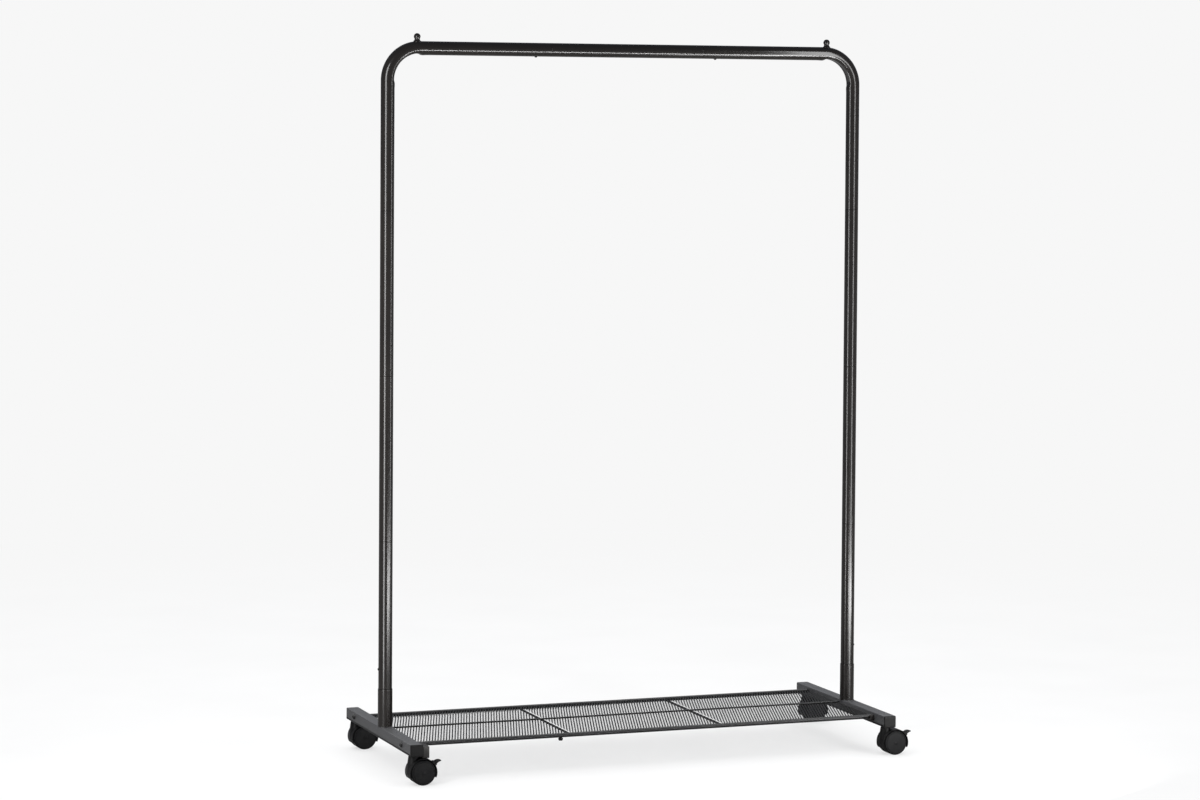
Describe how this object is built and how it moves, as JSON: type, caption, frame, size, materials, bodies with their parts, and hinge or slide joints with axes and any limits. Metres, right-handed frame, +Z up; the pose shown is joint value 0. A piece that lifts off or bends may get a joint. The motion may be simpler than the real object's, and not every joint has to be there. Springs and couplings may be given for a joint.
{
  "type": "garment rail",
  "caption": "Wheeled garment rail: two feet on casters, jointed tube posts with rounded corners into a hanging rail, and a low wire mesh shelf.",
  "frame": {"origin": "on the floor, under the middle of the overall box", "axes": "+X along the rail to the right, +Y to the back, +Z up; the hanging side with the brake levers faces -Y"},
  "size_m": [1.1776, 0.485, 1.5927],
  "materials": {
    "tube_paint": "semi-gloss black stove enamel",
    "foot_paint": "fine-textured dark grey-black powder coat",
    "shelf_paint": "satin black enamel",
    "cap_plastic": "black polyethylene",
    "caster_plastic": "black nylon",
    "wheel_plastic": "black nylon tread",
    "bright_steel": "zinc-plated steel",
    "button_steel": "blackened spring steel"
  },
  "bodies": {
    "frame": {"foot_left": "foot_paint", "end_cap_left_front": "cap_plastic", "end_cap_left_rear": "cap_plastic", "post_socket_left": "tube_paint", "post_left_lower": "tube_paint", "post_left_middle": "tube_paint", "post_left_upper": "tube_paint", "corner_tube_left": "tube_paint", "ball_peg_left": "tube_paint", "shelf_bolt_left_front": "button_steel", "shelf_bolt_left_rear": "button_steel", "shelf_lug_left": "shelf_paint", "shelf_cross_left": "shelf_paint", "shelf_mesh_left": "shelf_paint", "caster_stem_left_front": "bright_steel", "caster_stem_left_rear": "bright_steel", "foot_right": "foot_paint", "end_cap_right_front": "cap_plastic", "end_cap_right_rear": "cap_plastic", "post_socket_right": "tube_paint", "post_right_lower": "tube_paint", "post_right_middle": "tube_paint", "post_right_upper": "tube_paint", "corner_tube_right": "tube_paint", "ball_peg_right": "tube_paint", "shelf_bolt_right_front": "button_steel", "shelf_bolt_right_rear": "button_steel", "shelf_lug_right": "shelf_paint", "shelf_cross_right": "shelf_paint", "shelf_mesh_right": "shelf_paint", "caster_stem_right_front": "bright_steel", "caster_stem_right_rear": "bright_steel", "rail_centre": "tube_paint", "shelf_bar_front": "shelf_paint", "shelf_bar_rear": "shelf_paint", "shelf_centre_wire": "shelf_paint", "shelf_mesh_middle": "shelf_paint", "shelf_pad": "cap_plastic"},
    "button_post_left": {"snap_button_post_left": "button_steel"},
    "button_rail_left": {"snap_button_rail_left": "button_steel"},
    "swivel_left_front": {"caster_housing_left_front": "caster_plastic", "caster_axle_left_front": "bright_steel"},
    "wheel_left_front_outer": {"caster_wheel_left_front_outer": "wheel_plastic"},
    "wheel_left_front_inner": {"caster_wheel_left_front_inner": "wheel_plastic"},
    "swivel_left_rear": {"caster_housing_left_rear": "caster_plastic", "caster_axle_left_rear": "bright_steel"},
    "wheel_left_rear_outer": {"caster_wheel_left_rear_outer": "wheel_plastic"},
    "wheel_left_rear_inner": {"caster_wheel_left_rear_inner": "wheel_plastic"},
    "lever_left": {"brake_lever_left": "caster_plastic"},
    "button_post_right": {"snap_button_post_right": "button_steel"},
    "button_rail_right": {"snap_button_rail_right": "button_steel"},
    "swivel_right_front": {"caster_housing_right_front": "caster_plastic", "caster_axle_right_front": "bright_steel"},
    "wheel_right_front_outer": {"caster_wheel_right_front_outer": "wheel_plastic"},
    "wheel_right_front_inner": {"caster_wheel_right_front_inner": "wheel_plastic"},
    "swivel_right_rear": {"caster_housing_right_rear": "caster_plastic", "caster_axle_right_rear": "bright_steel"},
    "wheel_right_rear_outer": {"caster_wheel_right_rear_outer": "wheel_plastic"},
    "wheel_right_rear_inner": {"caster_wheel_right_rear_inner": "wheel_plastic"},
    "lever_right": {"brake_lever_right": "caster_plastic"}
  },
  "joints": [
    {"name": "swivel_left_front", "type": "hinge", "parent": "frame", "child": "swivel_left_front", "pos_m": [-0.5716, -0.217, 0.057], "axis": [0, 0, 1], "continuous": true},
    {"name": "roll_left_front_outer", "type": "hinge", "parent": "swivel_left_front", "child": "wheel_left_front_outer", "pos_m": [-0.554, -0.217, 0.027], "axis": [0, 1, 0], "continuous": true},
    {"name": "roll_left_front_inner", "type": "hinge", "parent": "swivel_left_front", "child": "wheel_left_front_inner", "pos_m": [-0.554, -0.217, 0.027], "axis": [0, 1, 0], "continuous": true},
    {"name": "swivel_left_rear", "type": "hinge", "parent": "frame", "child": "swivel_left_rear", "pos_m": [-0.5716, 0.217, 0.057], "axis": [0, 0, 1], "continuous": true},
    {"name": "roll_left_rear_outer", "type": "hinge", "parent": "swivel_left_rear", "child": "wheel_left_rear_outer", "pos_m": [-0.554, 0.217, 0.027], "axis": [0, 1, 0], "continuous": true},
    {"name": "roll_left_rear_inner", "type": "hinge", "parent": "swivel_left_rear", "child": "wheel_left_rear_inner", "pos_m": [-0.554, 0.217, 0.027], "axis": [0, 1, 0], "continuous": true},
    {"name": "brake_left", "type": "hinge", "parent": "swivel_left_front", "child": "lever_left", "pos_m": [-0.5252, -0.217, 0.0443], "axis": [0, 1, 0], "range_deg": [0, 22]},
    {"name": "press_post_left", "type": "slide", "parent": "frame", "child": "button_post_left", "axis": [-1, 0, 0], "range_m": [-0.0034, 0], "stiffness_N_per_m": 900},
    {"name": "press_rail_left", "type": "slide", "parent": "frame", "child": "button_rail_left", "axis": [0, 0, -1], "range_m": [-0.0034, 0], "stiffness_N_per_m": 900},
    {"name": "swivel_right_front", "type": "hinge", "parent": "frame", "child": "swivel_right_front", "pos_m": [0.5284, -0.217, 0.057], "axis": [0, 0, 1], "continuous": true},
    {"name": "roll_right_front_outer", "type": "hinge", "parent": "swivel_right_front", "child": "wheel_right_front_outer", "pos_m": [0.546, -0.217, 0.027], "axis": [0, 1, 0], "continuous": true},
    {"name": "roll_right_front_inner", "type": "hinge", "parent": "swivel_right_front", "child": "wheel_right_front_inner", "pos_m": [0.546, -0.217, 0.027], "axis": [0, 1, 0], "continuous": true},
    {"name": "swivel_right_rear", "type": "hinge", "parent": "frame", "child": "swivel_right_rear", "pos_m": [0.5284, 0.217, 0.057], "axis": [0, 0, 1], "continuous": true},
    {"name": "roll_right_rear_outer", "type": "hinge", "parent": "swivel_right_rear", "child": "wheel_right_rear_outer", "pos_m": [0.546, 0.217, 0.027], "axis": [0, 1, 0], "continuous": true},
    {"name": "roll_right_rear_inner", "type": "hinge", "parent": "swivel_right_rear", "child": "wheel_right_rear_inner", "pos_m": [0.546, 0.217, 0.027], "axis": [0, 1, 0], "continuous": true},
    {"name": "brake_right", "type": "hinge", "parent": "swivel_right_front", "child": "lever_right", "pos_m": [0.5748, -0.217, 0.0443], "axis": [0, 1, 0], "range_deg": [0, 22]},
    {"name": "press_post_right", "type": "slide", "parent": "frame", "child": "button_post_right", "axis": [1, 0, 0], "range_m": [-0.0034, 0], "stiffness_N_per_m": 900},
    {"name": "press_rail_right", "type": "slide", "parent": "frame", "child": "button_rail_right", "axis": [0, 0, -1], "range_m": [-0.0034, 0], "stiffness_N_per_m": 900}
  ]
}
